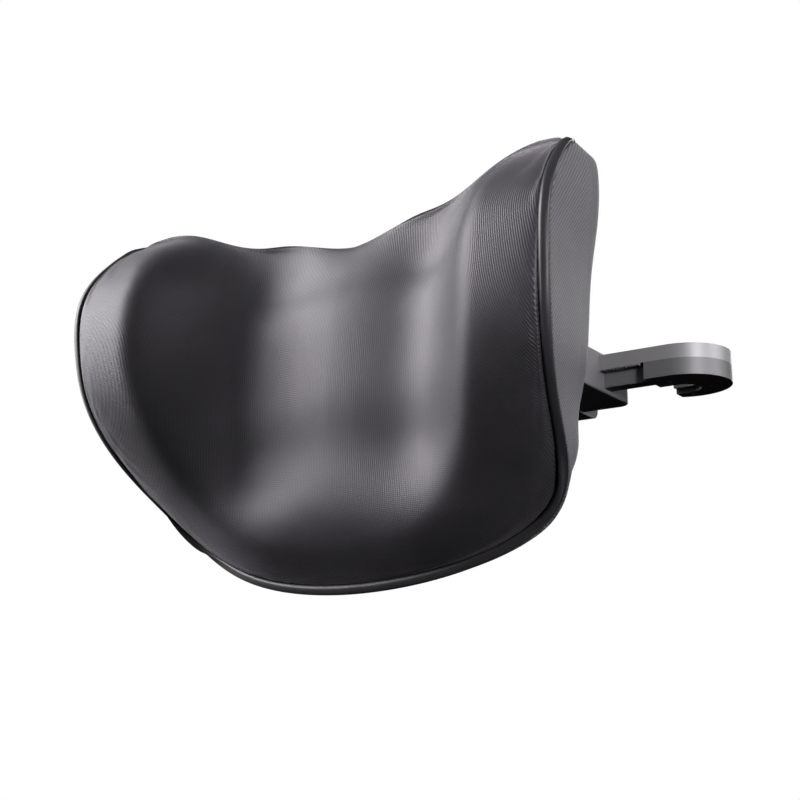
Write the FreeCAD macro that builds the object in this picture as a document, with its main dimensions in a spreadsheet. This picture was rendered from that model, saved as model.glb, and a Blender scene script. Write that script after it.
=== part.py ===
"""Chair headrest attachment: a winged cushion on a crossbar whose two arms hook round vertical posts.

Frame: +X to the viewer's right, +Y towards the chair, +Z up.  The origin is midway between the two
post axes, on the parting plane of the arms.  All sizes are in millimetres.
"""
import FreeCAD, Part
import math
import os

Vector = FreeCAD.Vector

doc = FreeCAD.newDocument("headrest")
sheet = doc.addObject("Spreadsheet::Sheet", "dims")

DRIVING = {
    # crossbar housing
    "bar_half": 117.2, "bar_front": -48.8, "bar_rear": 8.8, "bar_top": 8.6, "bar_bottom": -10.4,
    "bar_corner": 6.0, "side_wall": 2.5, "room_top": 7.1, "room_bottom": -8.3, "edge_round": 0.8,
    # sliding arms and their hooks
    "arm_front": -26.5, "arm_rear": -13.4, "arm_top": 6.8, "arm_bottom": -8.0, "arm_inner": 42.0,
    "arm_gap": 0.3, "recess_depth": 4.6, "recess_end": 138.95,
    "hook_x": 150.0, "hook_y": -4.5, "hook_radius": 22.0, "throat_end": 139.2, "lip_end": 140.7,
    "post_x": 147.9, "post_radius": 6.0, "liner_wall": 1.5, "liner_bottom": -5.5, "liner_top": 6.5,
    "mouth_radius": 8.0,
    # rack, pawl and release lever
    "tooth_pitch": 1.6, "tooth_depth": 1.0, "tooth_gap": 0.1, "rack_inner": 55.75,
    "lever_outer": 91.0, "lever_inner": 57.0, "pawl_inner": 75.0, "pawl_depth": 4.0,
    "lever_bottom": -11.0, "lever_plate": 2.2, "lever_rear": 25.3, "paddle_front": 10.0,
    "paddle_top": -1.0, "paddle_round": 5.0, "pivot_y": -4.0, "pivot_z": -6.5, "pivot_boss": 3.4,
    "pivot_pin": 1.5, "running_gap": 0.05, "spring_x": 83.0, "spring_y": 3.2, "spring_radius": 2.3,
    "spring_wire": 0.3, "spring_turns": 7.0,
    # guides for the arms inside the housing
    "shoe_length": 6.0, "shoe_side": 0.7, "shoe_pin": 2.4, "rail_inner": 14.0, "rail_outer": 70.0,
    "stop_inner": 64.0, "rail_wall": 1.6,
    # tilt hinge
    "hinge_y": -53.4, "knuckle": 4.0, "hinge_pin": 1.8, "knuckle_in": 17.4, "knuckle_mid": 18.0,
    "knuckle_out": 30.0, "hinge_half": 44.0, "leaf_half": 40.0, "leaf_high": 14.0,
    "bracket_high": 8.0, "bracket_wall": 1.8, "leaf_wall": 1.6,
    # cushion shell: a trough with a flat back and two slightly tapered sides
    "shell_top_half": 139.5, "shell_taper": 20.0, "shell_top": 78.0, "shell_bottom": -101.0,
    "shell_back": -58.0, "shell_corner": 20.0, "shell_wall": 4.2, "panel_wall": 1.2,
    "board_wall": 3.0, "rim_inset": 9.0, "outline_power": 6.3,
    "rim_crest_y": -118.3, "rim_crest_z": 37.0, "rim_sweep": 0.0061, "rim_sweep_top": 0.0098,
    "shell_back_top": 66.0, "side_top_y": -70.0, "side_top_z": 87.0, "apex_y": -80.0,
    "apex_z": 93.0, "bead_radius": 2.2,
    # padded front
    "pad_centre": -80.0, "pad_crest_x": 108.0, "pad_crest_rise": 13.0, "pad_top_centre": 73.0,
    "pad_top_wing": 97.0, "pad_side_round": 22.0, "pad_top_round": 20.0, "pad_bottom_round": 38.0,
    "cover_wall": 1.8, "cover_side": 0.8,
}

for row, (alias, value) in enumerate(DRIVING.items(), start=1):
    sheet.set(f"A{row}", alias)
    sheet.set(f"B{row}", str(value))
    sheet.setAlias(f"B{row}", alias)
doc.recompute()


def size(alias):
    """A driving dimension as a number, for shapes that are worked out in code."""
    return float(sheet.get(alias))


# ---------------------------------------------------------------------------------------------
# helpers: each takes expressions of sheet aliases, such as "bar_half - side_wall"
# ---------------------------------------------------------------------------------------------
def cell(expression):
    """The expression with every alias pointed at the sheet."""
    words = []
    word = ""
    for letter in str(expression) + " ":
        if letter.isalnum() or letter in "_.":
            word += letter
            continue
        words.append(f"dims.{word}" if word in DRIVING else word)
        words.append(letter)
        word = ""
    return "".join(words).strip()


def bind(item, **expressions):
    """Bind properties such as Length or Placement_Base_x to sheet expressions."""
    for name, expression in expressions.items():
        item.setExpression(name.replace("_", "."), cell(expression))
    return item


def block(x_from, x_to, y_from, y_to, z_from, z_to):
    item = doc.addObject("Part::Box", "block")
    return bind(item, Length=f"({x_to}) - ({x_from})", Width=f"({y_to}) - ({y_from})",
                Height=f"({z_to}) - ({z_from})", Placement_Base_x=x_from,
                Placement_Base_y=y_from, Placement_Base_z=z_from)


TURNS = {"x": FreeCAD.Rotation(Vector(0, 1, 0), 90), "y": FreeCAD.Rotation(Vector(1, 0, 0), -90),
         "z": FreeCAD.Rotation()}


def rod(axis, radius, length, x, y, z):
    """A cylinder that starts at (x, y, z) and runs along +axis."""
    item = doc.addObject("Part::Cylinder", "rod")
    item.Placement = FreeCAD.Placement(Vector(), TURNS[axis])
    return bind(item, Radius=radius, Height=length, Placement_Base_x=x, Placement_Base_y=y,
                Placement_Base_z=z)


def fuse(*items):
    item = doc.addObject("Part::MultiFuse", "fuse")
    item.Shapes = list(items)
    return item


def cut(base, *tools):
    item = doc.addObject("Part::Cut", "cut")
    item.Base = base
    item.Tool = tools[0] if len(tools) == 1 else fuse(*tools)
    return item


def mirrored(source):
    """The same piece on the other side of the plane X = 0."""
    item = doc.addObject("Part::Mirroring", "mirrored")
    item.Source = source
    item.Normal = Vector(1, 0, 0)
    return item


def rounded(base, radius, chosen):
    """Fillet the edges of base whose centre the test picks."""
    doc.recompute()
    item = doc.addObject("Part::Fillet", "rounded")
    item.Base = base
    item.Edges = [(number, radius, radius)
                  for number, edge in enumerate(base.Shape.Edges, start=1)
                  if chosen(edge, edge.BoundBox)]
    return item


def shaped(shape):
    """A shape worked out in code from the sheet's sizes."""
    item = doc.addObject("Part::Feature", "shaped")
    item.Shape = shape
    return item


nodes = {}


def keep(name, item):
    """Name a finished sub-part."""
    item.Label = name
    nodes[name] = item
    return item


def keep_pair(name, right):
    """Name a right-hand sub-part and its mirror image."""
    keep(f"{name}_right", right)
    keep(f"{name}_left", mirrored(right))


def spline(points):
    curve = Part.BSplineCurve()
    curve.interpolate(points)
    return curve.toShape()


def prism(edges, direction):
    """The solid swept by the flat region inside the edges."""
    return Part.Face(Part.Wire(edges)).extrude(direction)


def polyline(points):
    return [Part.makeLine(first, second) for first, second in zip(points, points[1:])]


# ---------------------------------------------------------------------------------------------
# crossbar housing: two shells that part at Z = 0
# ---------------------------------------------------------------------------------------------
def rounded_bar(z_from, z_to, inset):
    """The bar's outline with its two rear corners rounded, set in by the wall where asked."""
    box = block(f"-(bar_half - {inset})", f"bar_half - {inset}", f"bar_front + {inset}",
                f"bar_rear - {inset}", z_from, z_to)
    wall = size(inset) if inset in DRIVING else float(inset)
    rear = size("bar_rear") - wall
    return rounded(box, size("bar_corner") - wall,
                   lambda edge, bounds: bounds.YMin > rear - 0.01 and bounds.ZLength > 1)


def both_sides(make):
    """The pieces that make(side) gives for the right (1) and the left (-1)."""
    return [make(1), make(-1)]


def side_block(side, x_near, x_far, y_from, y_to, z_from, z_to):
    """A block between two distances from the middle, on one side."""
    if side > 0:
        return block(x_near, x_far, y_from, y_to, z_from, z_to)
    return block(f"-({x_far})", f"-({x_near})", y_from, y_to, z_from, z_to)


SCREW_SPOTS = [(110.0, -30.9), (102.5, 4.4), (9.0, -41.0), (30.0, 3.0)]
SCREW_RADIUS = 1.1
SCREW_HEAD = 2.0
SCREW_HEAD_HIGH = 1.4
SCREW_BOSS = 2.7


def screw_posts(z_from, z_to, radius):
    return [rod("z", radius, f"({z_to}) - ({z_from})", side * x, y, z_from)
            for x, y in SCREW_SPOTS for side in (1, -1)]


def guide_rails(z_from, z_to):
    """Rails beside the sliding shoe, with a narrower stop at their outer end."""
    made = []
    for side in (1, -1):
        made.append(side_block(side, "rail_inner", "rail_outer", "arm_front - 1.0 - rail_wall",
                               "arm_front - 1.0", z_from, z_to))
        made.append(side_block(side, "rail_inner", "rail_outer", "arm_rear + 1.0",
                               "arm_rear + 1.0 + rail_wall", z_from, z_to))
        made.append(side_block(side, "stop_inner", "rail_outer", "arm_front - 1.2",
                               "arm_front - arm_gap", z_from, z_to))
        made.append(side_block(side, "stop_inner", "rail_outer", "arm_rear + arm_gap",
                               "arm_rear + 1.2", z_from, z_to))
        made.append(side_block(side, "rail_inner", "rail_inner + rail_wall", "arm_front - 1.2",
                               "arm_rear + 1.2", z_from, z_to))
    return made


def arm_doors(y_from, z_from, z_to):
    """Openings in the end walls for the arms."""
    return [side_block(side, "bar_half - 6", "bar_half + 1", y_from, "arm_rear + arm_gap",
                       z_from, z_to) for side in (1, -1)]


def at_height(z):
    """Picks the edges that lie flat at height z."""
    return lambda edge, box: abs(box.ZMin - z) < 0.01 and abs(box.ZMax - z) < 0.01


bracket_holes = [rod("y", 1.2, 8.0, x, "bar_front - 1", z) for x in (-38, 38) for z in (-4.5, 4.5)]

upper_skin = rounded(rounded_bar("0", "bar_top", "0"), size("edge_round"),
                     at_height(size("bar_top")))
upper_shell = fuse(cut(upper_skin, rounded_bar("-1", "room_top", "side_wall")),
                   *guide_rails("0", "room_top + 0.5"),
                   *screw_posts("0", "room_top + 0.5", SCREW_BOSS))
keep("housing_upper", cut(upper_shell, *arm_doors("arm_front - arm_gap", "-1", "room_top"),
                          *screw_posts("-1", "5", SCREW_RADIUS), *bracket_holes))

lower_skin = rounded(rounded_bar("bar_bottom", "0", "0"), size("edge_round"),
                     at_height(size("bar_bottom")))


def pivot_ears(side):
    """Two ears that carry the pin of one release lever."""
    spans = (("pawl_inner - 4", "pawl_inner - 0.5"), ("lever_outer + 0.5", "lever_outer + 4"))
    return [side_block(side, near, far, "pivot_y - 4", "pivot_y + 4", "room_bottom - 0.5",
                       "pivot_z + 4") for near, far in spans]


def lever_window(side):
    """The slot in the floor and rear wall that one release lever works through."""
    return [side_block(side, "pawl_inner - 0.5", "lever_outer + 0.5", "arm_front - 1.5",
                       "pivot_y + 4.6", "bar_bottom - 1", "room_bottom + 0.2"),
            side_block(side, "lever_inner - 0.5", "lever_outer + 0.5", "pivot_y + 4.5",
                       "bar_rear + 1", "bar_bottom - 1", "lever_bottom + lever_plate + 1.6")]


def pivot_bore(side, radius):
    start = "pawl_inner - 5" if side > 0 else "-(lever_outer + 5)"
    return rod("x", radius, "lever_outer - pawl_inner + 10", start, "pivot_y", "pivot_z")


lower_shell = fuse(cut(lower_skin, rounded_bar("room_bottom", "1", "side_wall")),
                   *guide_rails("room_bottom - 0.5", "0"),
                   *screw_posts("room_bottom - 0.5", "0", SCREW_BOSS),
                   *pivot_ears(1), *pivot_ears(-1))
keep("housing_lower", cut(lower_shell,
                          *arm_doors("arm_front + recess_depth - arm_gap", "room_bottom", "1"),
                          *arm_doors("arm_front - arm_gap", "-tooth_depth - arm_gap", "1"),
                          *screw_posts("bar_bottom - 1", "1", SCREW_RADIUS),
                          *screw_posts("bar_bottom - 1", "bar_bottom + 1.4", SCREW_HEAD),
                          *lever_window(1), *lever_window(-1),
                          *both_sides(lambda side: pivot_bore(side, "pivot_pin")),
                          *bracket_holes))

keep("housing_screws", fuse(*screw_posts("bar_bottom + 0.2", "5", SCREW_RADIUS),
                            *screw_posts("bar_bottom + 0.2", "bar_bottom + 1.4", SCREW_HEAD)))


# ---------------------------------------------------------------------------------------------
# arms with hooks, drawn for the right side
# ---------------------------------------------------------------------------------------------
HOOK_SCREWS = [(147.9, -16.2), (161.4, 0.0), (147.9, 13.2)]
HOOK_SCREW_RADIUS = 0.9
HOOK_SCREW_HEAD = 1.7


def slot(radius, z_from, z_to):
    """The U-shaped slot round a post, open towards the middle of the bar."""
    height = f"({z_to}) - ({z_from})"
    return [rod("z", radius, height, "post_x", "0", z_from),
            block("post_x - 30", "post_x", f"-({radius})", radius, z_from, z_to)]


def arm_layer(z_from, z_to):
    """One layer of an arm: a bar that ends in a disc, opened by the slot for the post."""
    bar = block("arm_inner", "hook_x", "arm_front", "arm_rear", z_from, z_to)
    disc = rod("z", "hook_radius", f"({z_to}) - ({z_from})", "hook_x", "hook_y", z_from)
    throat = block("hook_x - 30", "throat_end", "arm_rear", "0", f"{z_from} - 1", f"{z_to} + 1")
    lip = block("hook_x - 30", "lip_end", "0", "hook_radius", f"{z_from} - 1", f"{z_to} + 1")
    return cut(fuse(bar, disc), throat, lip,
               *slot("post_radius + liner_wall", f"{z_from} - 1", f"{z_to} + 1"))


def hook_holes(radius, z_from, z_to):
    return [rod("z", radius, f"({z_to}) - ({z_from})", x, y, z_from) for x, y in HOOK_SCREWS]


def tooth_row(first_peak, count, root_z, peak_z, y_from, depth):
    """A row of triangular teeth along X with a thin backing strip on the root side."""
    half = size("tooth_pitch") / 2.0
    backing = root_z - math.copysign(0.2, peak_z - root_z)
    outline = [Vector(first_peak - half, y_from, backing)]
    for number in range(count):
        peak = first_peak + number * size("tooth_pitch")
        outline.append(Vector(peak - half, y_from, root_z))
        outline.append(Vector(peak, y_from, peak_z))
    last = first_peak + (count - 1) * size("tooth_pitch") + half
    outline += [Vector(last, y_from, root_z), Vector(last, y_from, backing), outline[0]]
    return prism(polyline(outline), Vector(0, depth, 0))


shoe_bore = rod("x", "shoe_pin", "9", "arm_inner - 1", "(arm_front + recess_depth + arm_rear) / 2",
                "0")
rack_teeth = int((size("recess_end") - size("rack_inner")) / size("tooth_pitch"))
rack_peak = size("rack_inner") + size("tooth_pitch") / 2.0
rack = shaped(tooth_row(rack_peak, rack_teeth, 0.0, -size("tooth_depth"), size("arm_front"),
                        size("recess_depth")))
keep_pair("arm_upper", cut(fuse(arm_layer("0", "arm_top"), rack), shoe_bore,
                           *hook_holes(HOOK_SCREW_RADIUS, "-1", "5")))
keep_pair("arm_lower", cut(arm_layer("arm_bottom", "0"), shoe_bore,
                           block("arm_inner - 1", "recess_end", "arm_front - 1",
                                 "arm_front + recess_depth", "arm_bottom - 1", "1"),
                           *slot("mouth_radius", "arm_bottom - 1", "liner_bottom"),
                           *hook_holes(HOOK_SCREW_RADIUS, "arm_bottom - 1", "1"),
                           *hook_holes(HOOK_SCREW_HEAD, "arm_bottom - 1", "arm_bottom + 1.2")))
keep_pair("hook_liner", cut(fuse(rod("z", "post_radius + liner_wall", "liner_top - liner_bottom",
                                     "post_x", "0", "liner_bottom"),
                                 block("throat_end + 1", "post_x", "-(post_radius + liner_wall)",
                                       "post_radius + liner_wall", "liner_bottom", "liner_top")),
                            *slot("post_radius", "liner_bottom - 1", "liner_top + 1")))
keep_pair("hook_screws", fuse(*hook_holes(HOOK_SCREW_RADIUS, "arm_bottom + 0.1", "5"),
                              *hook_holes(HOOK_SCREW_HEAD, "arm_bottom + 0.1", "arm_bottom + 1.2")))
keep_pair("arm_shoe", fuse(block("arm_inner - shoe_length", "arm_inner", "arm_front - shoe_side",
                                 "arm_rear + shoe_side", "arm_bottom - 0.1", "arm_top + 0.1"),
                           rod("x", "shoe_pin", "8", "arm_inner",
                               "(arm_front + recess_depth + arm_rear) / 2", "0")))


# ---------------------------------------------------------------------------------------------
# release lever: a rocker with a paddle at the rear and a toothed pawl under the rack
# ---------------------------------------------------------------------------------------------
plate_top = "lever_bottom + lever_plate"
pawl_root = "-(tooth_depth + tooth_gap)"
pawl_teeth = int((size("lever_outer") - size("pawl_inner")) / size("tooth_pitch"))
steps_to_pawl = math.ceil((size("pawl_inner") - size("rack_inner")) / size("tooth_pitch"))
pawl_peak = size("rack_inner") + steps_to_pawl * size("tooth_pitch")
pawl_row = shaped(tooth_row(pawl_peak, pawl_teeth - 1, -size("tooth_depth") - size("tooth_gap"),
                            -size("tooth_gap"), size("arm_front") + 0.1, size("pawl_depth")))
paddle = rounded(block("lever_inner", "lever_outer", "paddle_front", "lever_rear", "lever_bottom",
                       "paddle_top"), size("paddle_round"),
                 lambda edge, box: box.YMin > size("lever_rear") - 0.01 and box.XLength > 1
                 and box.ZMax < size("paddle_top") - 1)
lever_body = fuse(block("pawl_inner", "lever_outer", "arm_front - 0.5", "pivot_y + 5",
                        "lever_bottom", plate_top),
                  block("lever_inner", "lever_outer", "pivot_y + 5", "paddle_front + 1",
                        "lever_bottom", plate_top),
                  block("pawl_inner", "lever_outer", "arm_front + 0.1",
                        "arm_front + 0.1 + pawl_depth", "lever_bottom", pawl_root),
                  block("pawl_inner", "lever_outer", "pivot_y - pivot_boss",
                        "pivot_y + pivot_boss", "lever_bottom + 1", "pivot_z"),
                  rod("x", "pivot_boss", "lever_outer - pawl_inner", "pawl_inner", "pivot_y",
                      "pivot_z"),
                  pawl_row, paddle)
keep_pair("release_lever", cut(lever_body, pivot_bore(1, "pivot_pin + running_gap")))
keep_pair("lever_pin", rod("x", "pivot_pin", "lever_outer - pawl_inner + 7", "pawl_inner - 3.5",
                           "pivot_y", "pivot_z"))


def coil_spring():
    """A round-wire compression spring between the lever's plate and the ceiling of the housing."""
    wire = size("spring_wire")
    low = size("lever_bottom") + size("lever_plate") + wire + 0.05
    high = size("room_top") - wire - 0.05
    path = Part.makeHelix((high - low) / size("spring_turns"), high - low,
                          size("spring_radius") - wire)
    start = path.Vertexes[0].Point
    section = Part.Wire([Part.makeCircle(wire, start, Vector(0, 1, 0))])
    coil = Part.Wire(path).makePipeShell([section], True, True)
    coil.translate(Vector(size("spring_x"), size("spring_y"), low))
    return coil


keep_pair("lever_spring", shaped(coil_spring()))


# ---------------------------------------------------------------------------------------------
# tilt hinge between the housing and the cushion
# ---------------------------------------------------------------------------------------------
def knuckle(x_from, x_to, y_to):
    """A hinge knuckle with the web that joins it to its leaf."""
    web_y = sorted((("hinge_y", size("hinge_y")), (y_to, size(y_to))), key=lambda pair: pair[1])
    return [rod("x", "knuckle", f"({x_to}) - ({x_from})", x_from, "hinge_y", "0"),
            block(x_from, x_to, web_y[0][0], web_y[1][0], "-knuckle", "knuckle")]


hinge_bore = rod("x", "hinge_pin", "100", "-50", "hinge_y", "0")
hinge_bore_wide = rod("x", "hinge_pin + running_gap", "100", "-50", "hinge_y", "0")
bracket_base = cut(block("-hinge_half", "hinge_half", "bar_front - bracket_wall", "bar_front",
                         "-bracket_high", "bracket_high"),
                   block("-knuckle_mid", "knuckle_mid", "bar_front - bracket_wall - 1",
                         "bar_front + 1", "-knuckle - 1.5", "knuckle + 1.5"))
keep("hinge_bracket", cut(fuse(bracket_base, *knuckle("knuckle_mid", "knuckle_out", "bar_front"),
                               *knuckle("-knuckle_out", "-knuckle_mid", "bar_front")),
                          hinge_bore,
                          *[rod("y", 1.2, 4.0, x, "bar_front - 3", z)
                            for x in (-38, 38) for z in (-4.5, 4.5)]))

LEAF_SCREWS = [(x, z) for x in (-34, 34) for z in (-10, 10)]


def leaf_rods(radius, y_from, length):
    return [rod("y", radius, length, x, y_from, z) for x, z in LEAF_SCREWS]


leaf_base = cut(block("-leaf_half", "leaf_half", "shell_back", "shell_back + leaf_wall",
                      "-leaf_high", "leaf_high"),
                *both_sides(lambda side: side_block(side, "knuckle_in", "knuckle_out + 4.5",
                                                    "shell_back - 1", "shell_back + 3",
                                                    "-knuckle - 1.5", "knuckle + 1.5")))
keep("hinge_leaf", cut(fuse(leaf_base, *knuckle("-knuckle_in", "knuckle_in", "shell_back")),
                       hinge_bore_wide, *leaf_rods(1.3, "shell_back - 1", 4)))
keep("hinge_leaf_screws", fuse(*leaf_rods(1.3, "shell_back - 7", "7 + leaf_wall"),
                               *leaf_rods(2.2, "shell_back + leaf_wall", 1.3)))
keep("hinge_bracket_screws", fuse(*[rod("y", radius, length, x, start, z)
                                    for x in (-38, 38) for z in (-4.5, 4.5)
                                    for radius, length, start in
                                    ((1.2, "bracket_wall + 5", "bar_front - bracket_wall"),
                                     (2.2, 1.3, "bar_front - bracket_wall - 1.3"))]))
keep("hinge_pin", rod("x", "hinge_pin", "2 * knuckle_out + 8", "-knuckle_out - 4", "hinge_y", "0"))


def hinge_rings(radius, inner, x_from, x_to):
    """A pair of rings round the hinge pin, one on each side."""
    length = f"({x_to}) - ({x_from})"
    return [cut(rod("x", radius, length, start, "hinge_y", "0"), inner)
            for start in (x_from, f"-({x_to})")]


keep("hinge_washers", fuse(*hinge_rings("knuckle - 0.1", hinge_bore, "knuckle_in + 0.05",
                                        "knuckle_mid")))
keep("hinge_nuts", fuse(*hinge_rings("knuckle - 1.3", hinge_bore, "knuckle_out",
                                     "knuckle_out + 3.2")))


# ---------------------------------------------------------------------------------------------
# cushion: shell, panel and board follow one trough; the pad fills it and stands in front of it
# ---------------------------------------------------------------------------------------------
FAR = 60.0
STEPS = 12
OUTLINE_FLARE = 14.0
TOP_FALL = 0.008
TOP_LEDGE = 4.0
PAD_ROWS = 26
PAD_ROW_STEP = 8.2


def trough(inset):
    """The space inside the trough, set in from its outer face: a wedge with two rounded corners."""
    back = size("shell_back") - inset
    front = size("rim_crest_y") - FAR
    corners = []
    for height, sides in ((size("shell_bottom") - 10, (-1, 1)), (size("apex_z") + 20, (1, -1))):
        corners += [Vector(side * (side_half(height) - inset), front, height) for side in sides]
    wedge = prism(polyline(corners + corners[:1]), Vector(0, back - front, 0))
    upright = [edge for edge in wedge.Edges
               if edge.BoundBox.YMin > back - 0.1 and edge.BoundBox.ZLength > 50]
    return wedge.makeFillet(size("shell_corner") - inset, upright)


def drop(height):
    """How far down the shell a height is: 0 at the top, 1 at the bottom."""
    return (size("shell_top") - height) / (size("shell_top") - size("shell_bottom"))


def side_half(height):
    """Half the trough's width."""
    return size("shell_top_half") - size("shell_taper") * drop(height)


def outline_half(height):
    """Half the width of the shell's outline, which closes in a round bottom."""
    down = min(max(drop(height), 0.0), 1.0)
    return side_half(height) * math.sqrt(1.0 - down ** size("outline_power"))


def rim_depth(height):
    """The depth of the shell's front edge: it sweeps back above and below its foremost point."""
    rise = height - size("rim_crest_z")
    sweep = size("rim_sweep_top") if rise > 0 else size("rim_sweep")
    return size("rim_crest_y") + sweep * rise ** 2


def front_outline(inset):
    """Everything inside the shell's round lower outline, seen from the front; it flares upwards."""
    top = size("apex_z") + 15.0
    low = size("shell_bottom") + inset
    stretch = (top - low) / (top - size("shell_bottom"))
    right = []
    for step in range(STEPS + 1):
        height = top - (top - size("shell_bottom")) * math.sin(math.pi / 2 * step / STEPS)
        down = min(max(drop(height), 0.0), 1.0)
        half = outline_half(height) + OUTLINE_FLARE * (1.0 - down) ** 2 - inset * down ** 6
        right.append(Vector(max(half, 0.0), -200, top - (top - height) * stretch))
    left = [Vector(-point.x, point.y, point.z) for point in reversed(right[:-1])]
    lid = Part.makeLine(left[-1], right[0])
    return prism([spline(right + left), lid], Vector(0, 200, 0))


def behind_rim(inset):
    """Everything behind the shell's front edge and under its top edge, as seen from the side."""
    flat_front = size("shell_back") - size("shell_wall") - 1.0
    front = []
    height = size("apex_z") - 4.0
    while rim_depth(height) + inset < flat_front - 1.0 or height > 0:
        front.append(Vector(-200, rim_depth(height) + inset, height))
        height -= 8.0
    front.append(Vector(-200, flat_front, height))
    back_top = size("shell_back_top") - inset
    apex = Vector(-200, size("apex_y") + inset * 0.5, size("apex_z") - inset)
    corner = front[0] + Vector(0, 0, -inset)
    front[0] = corner
    tip = Part.Arc(apex, (apex + corner) * 0.5 + Vector(0, -1.0, 0.8), corner).toShape()
    rest = [front[-1], Vector(-200, flat_front, -130), Vector(-200, -30, -130),
            Vector(-200, -30, back_top), Vector(-200, size("shell_back") - 2, back_top),
            Vector(-200, size("side_top_y"), size("side_top_z") - inset), apex]
    return prism([tip, spline(front)] + polyline(rest), Vector(400, 0, 0))


def pad_top_height(across):
    """The height of the pad's top edge: low at the centre, high over the wings."""
    crest = size("pad_crest_x")
    wing = math.sin(math.pi / 2 * min(abs(across) / crest, 1.0)) ** 2
    fall = TOP_FALL * max(abs(across) - crest, 0.0) ** 2
    return size("pad_top_centre") + (size("pad_top_wing") - size("pad_top_centre")) * wing - fall


def under_top():
    """Everything below the pad's top edge."""
    points = [Vector(across, -200, pad_top_height(across)) for across in range(-160, 161, 16)]
    ends = [points[-1], Vector(160, -200, -300), Vector(-160, -200, -300), points[0]]
    return prism([spline(points)] + polyline(ends), Vector(0, 300, 0))


def pad_depth(across, height, lift):
    """The depth of the padded front, moved forward by lift."""
    crest = rim_depth(max(height, -60.0)) - size("pad_crest_rise")
    reach = min(abs(across) / size("pad_crest_x"), 1.0)
    face = size("pad_centre") + (crest - size("pad_centre")) * reach ** 2.2
    wing = min(abs(across) / size("pad_crest_x"), 1.0) ** 2
    top_room = max(pad_top_height(across) - height, 0.0) + TOP_LEDGE
    side_room = outline_half(height) - abs(across) - 1.0
    edge = rim_depth(height) if height > -62 else size("shell_back") - size("shell_wall")
    if top_room < size("pad_top_round"):
        edge = size("shell_back") - 2.0 + (size("apex_y") - size("shell_back")) * wing ** 2
    share = 1.0
    for room, radius in ((side_room, size("pad_side_round")), (top_room, size("pad_top_round")),
                         (height - size("shell_bottom"), size("pad_bottom_round"))):
        near = 1.0 - min(max(room / radius, 0.0), 1.0)
        share *= math.sqrt(1.0 - near ** 2)
    return edge + (face - edge) * share - lift


def padded_front(lift):
    """The space behind the padded front, as far as the back of the shell."""
    low = size("shell_bottom") - 3.0
    rows = []
    for row in range(PAD_ROWS):
        height = low + row * PAD_ROW_STEP
        rows.append([Vector(column * 10.0, pad_depth(column * 10.0, height, lift), height)
                     for column in range(-16, 17)])
    surface = Part.BSplineSurface()
    surface.interpolate(rows)
    return surface.toShape().extrude(Vector(0, 120, 0))


outline = front_outline(0.0)
rim = behind_rim(0.0)
board_depth = size("shell_wall") + 0.2
pad_top = under_top()
hinge_pad = Part.makeBox(2 * size("leaf_half") + 3, 20, 2 * size("leaf_high") + 3,
                         Vector(-size("leaf_half") - 1.5, size("shell_back") - 10,
                                -size("leaf_high") - 1.5))
panel_outline = front_outline(size("rim_inset")).common(behind_rim(size("rim_inset")))
panel_skin = trough(0.0).cut(trough(size("panel_wall")))
panel = panel_skin.common(panel_outline).cut(hinge_pad)
keep("rear_panel", shaped(panel))

shell = trough(0.0).cut(trough(size("shell_wall"))).common(outline).common(rim).cut(panel)
BOARD_SCREWS = [(x, z) for x in (-80, 0, 80) for z in (-50, 40)]


def board_rods(radius, start, length):
    """Short rods along Y where screws hold the shell to the board."""
    return [Part.makeCylinder(radius, length, Vector(x, start, z), Vector(0, -1, 0))
            for x, z in BOARD_SCREWS]


head_face = size("shell_back") - size("panel_wall")
leaf_bores = [Part.makeCylinder(1.3, 9, Vector(x, size("shell_back") + 1, z), Vector(0, -1, 0))
              for x, z in LEAF_SCREWS]
shell = shell.cut(board_rods(1.2, head_face + 0.5, 9) + board_rods(2.4, head_face + 0.5, 2.0)
                  + leaf_bores)
keep("rear_shell", shaped(shell))

board = trough(board_depth).cut(trough(board_depth + size("board_wall")))
board = board.common(front_outline(6.0)).common(behind_rim(6.0))
board = board.cut(board_rods(1.2, head_face + 0.5, 9) + leaf_bores)
keep("carrier_board", shaped(board))
keep("shell_screws", shaped(Part.makeCompound(
    [head.fuse(shank) for head, shank in zip(board_rods(2.4, head_face - 0.1, 1.4),
                                             board_rods(1.2, head_face - 0.1, 7.5))])))

foam_space = trough(board_depth + size("board_wall") + 0.2).fuse(
    trough(size("cover_side")).cut(behind_rim(-2.0 * size("bead_radius") - 0.3)))
foam = padded_front(0.0).common(foam_space).common(front_outline(size("cover_side"))).common(pad_top)
keep("foam_pad", shaped(foam.cut(board_rods(1.6, head_face, 10.0))))
cover_space = trough(0.0).common(front_outline(0.0)).cut(behind_rim(-2.0 * size("bead_radius")))
cover = padded_front(size("cover_wall")).common(cover_space).common(pad_top).cut(foam)
keep("front_cover", shaped(max(cover.Solids, key=lambda solid: solid.Volume)))

# ---------------------------------------------------------------------------------------------
# checks and export
# ---------------------------------------------------------------------------------------------
doc.recompute()
for item in doc.Objects:
    if "Invalid" in item.State or "Error" in item.State:
        raise RuntimeError(f"{item.Name} ({item.Label}) failed: {item.State}")
os.makedirs("parts", exist_ok=True)
for name, item in nodes.items():
    if item.Shape.isNull() or not item.Shape.isValid() or not item.Shape.Solids:
        raise RuntimeError(f"{name} has no valid solid")
    box = item.Shape.optimalBoundingBox(True, False)
    print(f"{name:22s} solids {len(item.Shape.Solids):2d} volume {item.Shape.Volume:10.1f} "
          f"X {box.XMin:7.1f} {box.XMax:6.1f} Y {box.YMin:7.1f} {box.YMax:6.1f} "
          f"Z {box.ZMin:7.1f} {box.ZMax:6.1f}")
for name, item in nodes.items():
    item.Shape.exportStep(f"parts/{name}.step")
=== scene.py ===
import bpy
import bmesh
import math
import numpy as np
from mathutils import Matrix, Vector


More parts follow.
